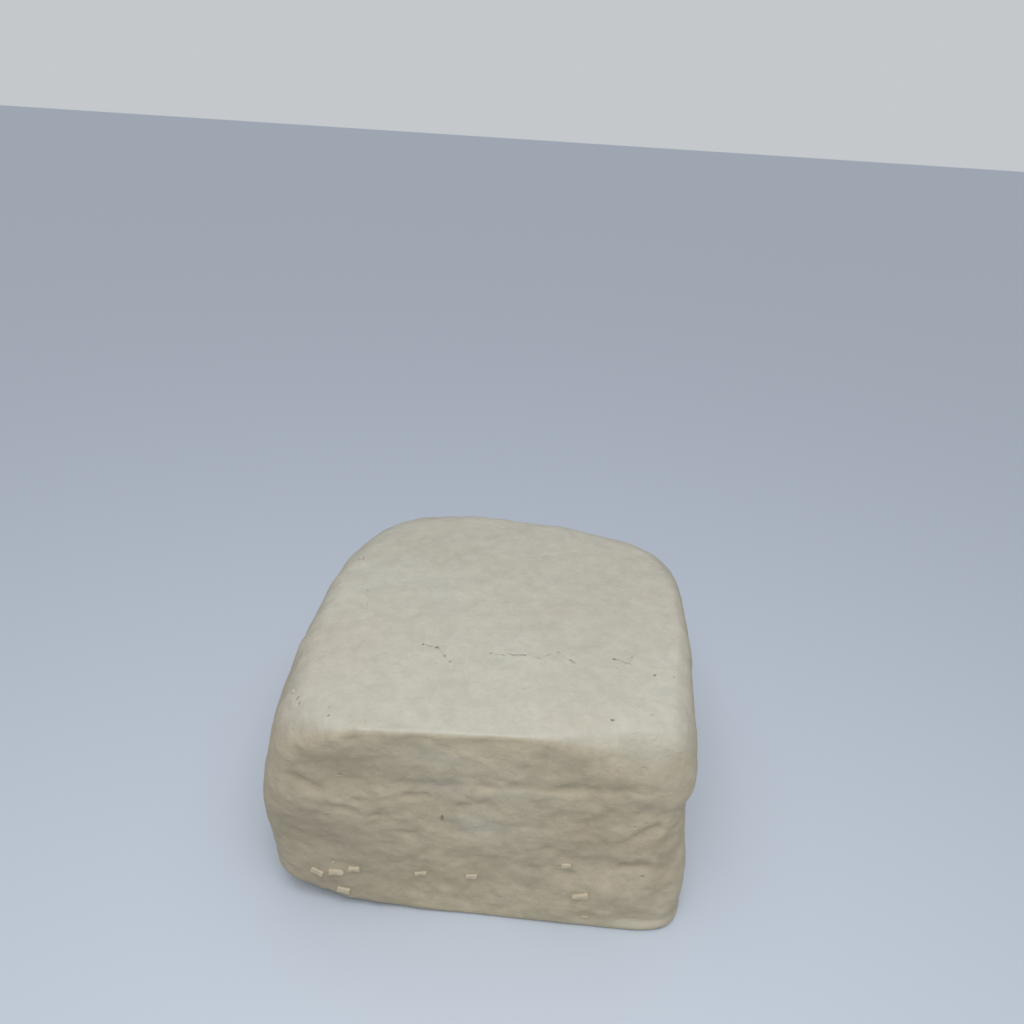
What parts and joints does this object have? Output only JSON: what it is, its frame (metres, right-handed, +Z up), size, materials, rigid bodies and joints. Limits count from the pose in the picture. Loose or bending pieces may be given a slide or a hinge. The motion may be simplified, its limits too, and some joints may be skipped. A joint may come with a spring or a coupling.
{
  "type": "tofu block",
  "caption": "Block of firm pressed tofu with a smooth domed top, a crisp front edge, soft corners and rough, cloth-creased sides.",
  "frame": {"origin": "middle of the base, at the level the block rests on", "axes": "+Z up, -Y towards the front with the crisp top edge, +X to the front's right"},
  "size_m": [0.1168, 0.1116, 0.0674],
  "materials": {
    "tofu": "moist, pale cream, soft sheen"
  },
  "bodies": {
    "root": {"tofu_block": "tofu"}
  },
  "joints": []
}
